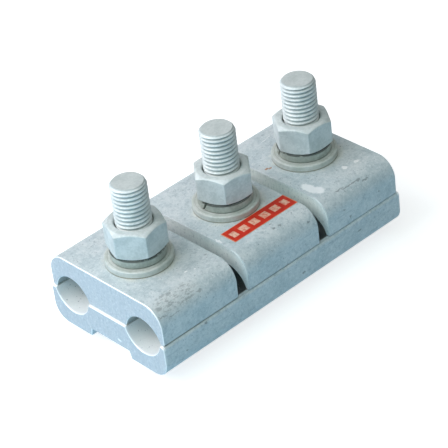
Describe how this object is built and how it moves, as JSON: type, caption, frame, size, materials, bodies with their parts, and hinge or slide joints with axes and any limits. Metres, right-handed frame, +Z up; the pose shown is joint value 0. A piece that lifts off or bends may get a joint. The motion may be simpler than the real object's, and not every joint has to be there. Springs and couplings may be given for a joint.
{
  "type": "parallel groove clamp",
  "caption": "Parallel groove clamp for joining parallel overhead conductors: a grooved aluminium bar with separate keepers, each pressed down by its own bolt, washers and nut.",
  "frame": {"origin": "middle of the clamp's length and width, on the surface it stands on, under its bolt heads", "axes": "+X along the conductors, from the near end in the picture to the far end; +Y across them, away from the label's side; +Z up along the bolts, towards their free ends"},
  "size_m": [0.1442, 0.0724, 0.08],
  "materials": {
    "aluminium": "dull extruded surface, saw-cut ends",
    "galvanised_steel": "hot-dip galvanised, dull",
    "label": "satin"
  },
  "bodies": {
    "lower_body": {"lower_body": "aluminium", "bolt_1": "galvanised_steel", "bolt_2": "galvanised_steel", "bolt_3": "galvanised_steel"},
    "keeper_1": {"keeper_1": "aluminium", "flat_washer_1": "galvanised_steel", "spring_washer_1": "galvanised_steel"},
    "nut_1": {"nut_1": "galvanised_steel"},
    "keeper_2": {"keeper_2": "aluminium", "flat_washer_2": "galvanised_steel", "spring_washer_2": "galvanised_steel", "label": "label"},
    "nut_2": {"nut_2": "galvanised_steel"},
    "keeper_3": {"keeper_3": "aluminium", "flat_washer_3": "galvanised_steel", "spring_washer_3": "galvanised_steel"},
    "nut_3": {"nut_3": "galvanised_steel"}
  },
  "joints": [
    {"name": "keeper_1_lift", "type": "slide", "parent": "lower_body", "child": "keeper_1", "axis": [0, 0, 1], "range_m": [0, 0.017]},
    {"name": "nut_1_turn", "type": "hinge", "parent": "keeper_1", "child": "nut_1", "pos_m": [-0.0499, 0, 0.0476], "axis": [0, 0, 1], "range_deg": [0, 3060]},
    {"name": "keeper_2_lift", "type": "slide", "parent": "lower_body", "child": "keeper_2", "axis": [0, 0, 1], "range_m": [0, 0.017]},
    {"name": "nut_2_turn", "type": "hinge", "parent": "keeper_2", "child": "nut_2", "pos_m": [0.0013, 0, 0.0476], "axis": [0, 0, 1], "range_deg": [0, 3060]},
    {"name": "keeper_3_lift", "type": "slide", "parent": "lower_body", "child": "keeper_3", "axis": [0, 0, 1], "range_m": [0, 0.017]},
    {"name": "nut_3_turn", "type": "hinge", "parent": "keeper_3", "child": "nut_3", "pos_m": [0.0505, 0, 0.0476], "axis": [0, 0, 1], "range_deg": [0, 3060]}
  ],
  "couplings": [
    {"joint": "nut_1_turn", "follows": "keeper_1_lift", "rad_per_m": 3141.6},
    {"joint": "nut_2_turn", "follows": "keeper_2_lift", "rad_per_m": 3141.6},
    {"joint": "nut_3_turn", "follows": "keeper_3_lift", "rad_per_m": 3141.6}
  ]
}
